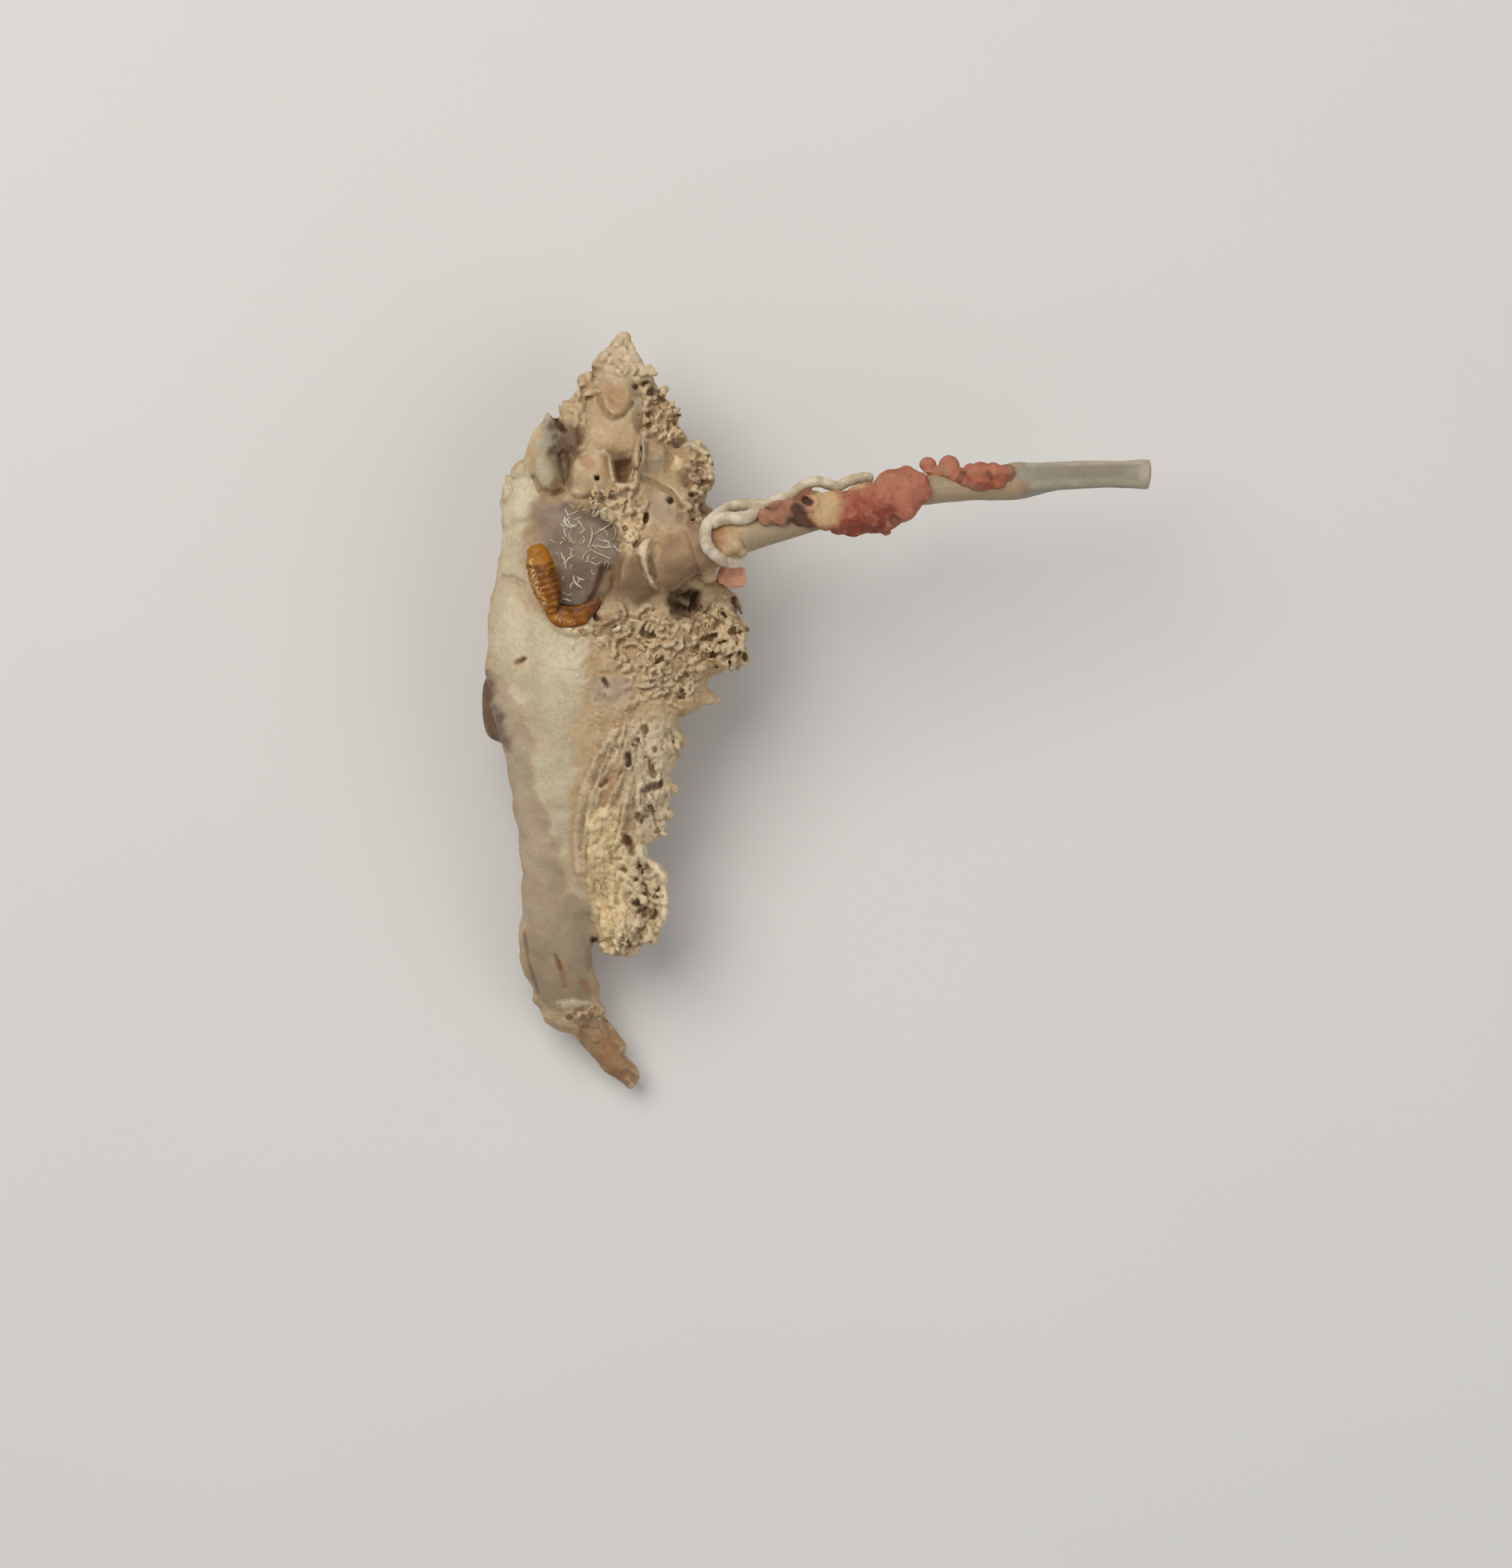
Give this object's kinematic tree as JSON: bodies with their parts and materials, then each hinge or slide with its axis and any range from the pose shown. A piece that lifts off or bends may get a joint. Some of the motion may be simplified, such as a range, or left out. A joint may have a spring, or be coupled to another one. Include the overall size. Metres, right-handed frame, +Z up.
{
  "type": "typhinellus occlusus shell",
  "caption": "Small spired sea shell lying mouth up, with a long slender side tube, a frilled edge, a bent canal, a horny lid in its mouth and crusts of pink growth on the tube.",
  "frame": {"origin": "on the surface the shell lies on, under the middle of its bounding box", "axes": "+Y from the canal to the apex of the spire, +X towards the end of the long anal tube, +Z up out of the mouth"},
  "size_m": [0.0209, 0.0241, 0.0077],
  "materials": {
    "chalky_shell": "matte, weathered, tan to cream",
    "amber_horn": "satin amber horn",
    "white_chalk": "satin white chalk",
    "pink_growth": "matte grainy pink"
  },
  "bodies": {
    "root": {"shell": "chalky_shell", "operculum": "amber_horn", "worm_tube": "white_chalk", "pink_crust": "pink_growth", "outer_crust": "pink_growth", "pink_knob": "pink_growth"}
  },
  "joints": []
}
